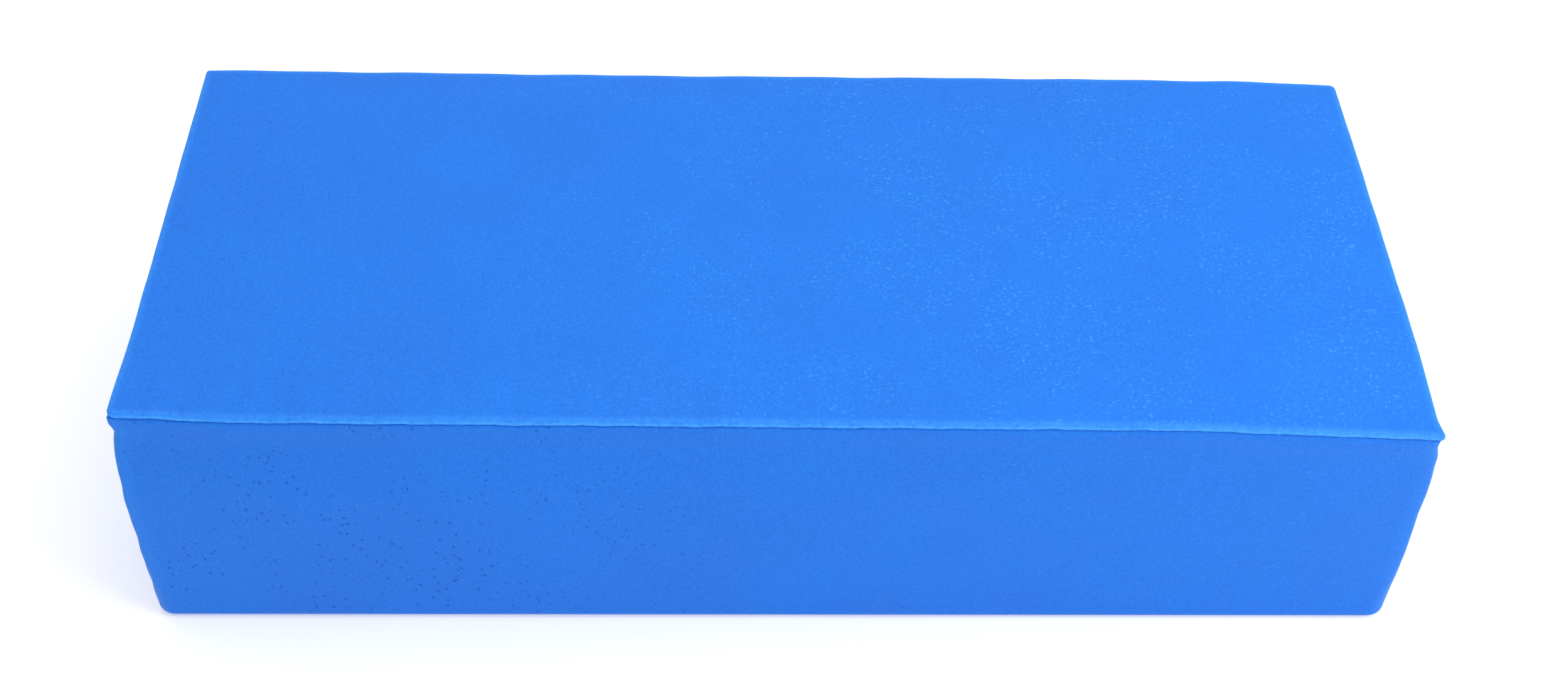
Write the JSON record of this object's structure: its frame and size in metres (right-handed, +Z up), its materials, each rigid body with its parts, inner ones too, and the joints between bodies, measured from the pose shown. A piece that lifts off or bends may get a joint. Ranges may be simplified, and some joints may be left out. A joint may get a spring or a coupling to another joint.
{
  "type": "balance pad",
  "caption": "Rectangular foam balance pad in a sewn leathercloth cover, with a zip along the back so that the foam comes out.",
  "frame": {"origin": "centre of the underside, on the surface that the pad lies on", "axes": "+X along the pad, +Y towards the back wall with the zip, +Z up"},
  "size_m": [0.5, 0.2168, 0.113],
  "materials": {
    "foam": "open-cell polyurethane foam, dark grey",
    "leathercloth": "bright blue PVC-coated fabric with a fine pebble grain, satin",
    "thread": "blue polyester sewing thread",
    "zip_tape": "blue woven polyester tape",
    "zip_teeth": "blue nylon",
    "nickel": "nickel plate, lightly brushed"
  },
  "bodies": {
    "pad": {"foam_core": "foam", "top_panel": "leathercloth", "boxing_strip": "leathercloth", "bottom_panel": "leathercloth", "zip_panel_upper": "leathercloth", "zip_panel_lower": "leathercloth", "top_seam_thread": "thread", "bottom_seam_thread": "thread", "topstitch_upper": "thread", "topstitch_lower": "thread", "topstitch_left": "thread", "topstitch_right": "thread", "zip_tape_upper": "zip_tape", "zip_tape_lower": "zip_tape", "zip_teeth_upper": "zip_teeth", "zip_teeth_lower": "zip_teeth", "zip_stop_upper": "nickel", "zip_stop_lower": "nickel", "zip_stop_open_end": "nickel"},
    "slider": {"zip_slider": "nickel"},
    "pull_tab": {"zip_pull_tab": "nickel"}
  },
  "joints": [
    {"name": "zip_slide", "type": "slide", "parent": "pad", "child": "slider", "axis": [1, 0, 0], "range_m": [0, 0.4266]},
    {"name": "pull_tab_hinge", "type": "hinge", "parent": "slider", "child": "pull_tab", "pos_m": [-0.2133, 0.1079, 0.056], "axis": [0, 0, 1], "range_deg": [0, 175]}
  ]
}
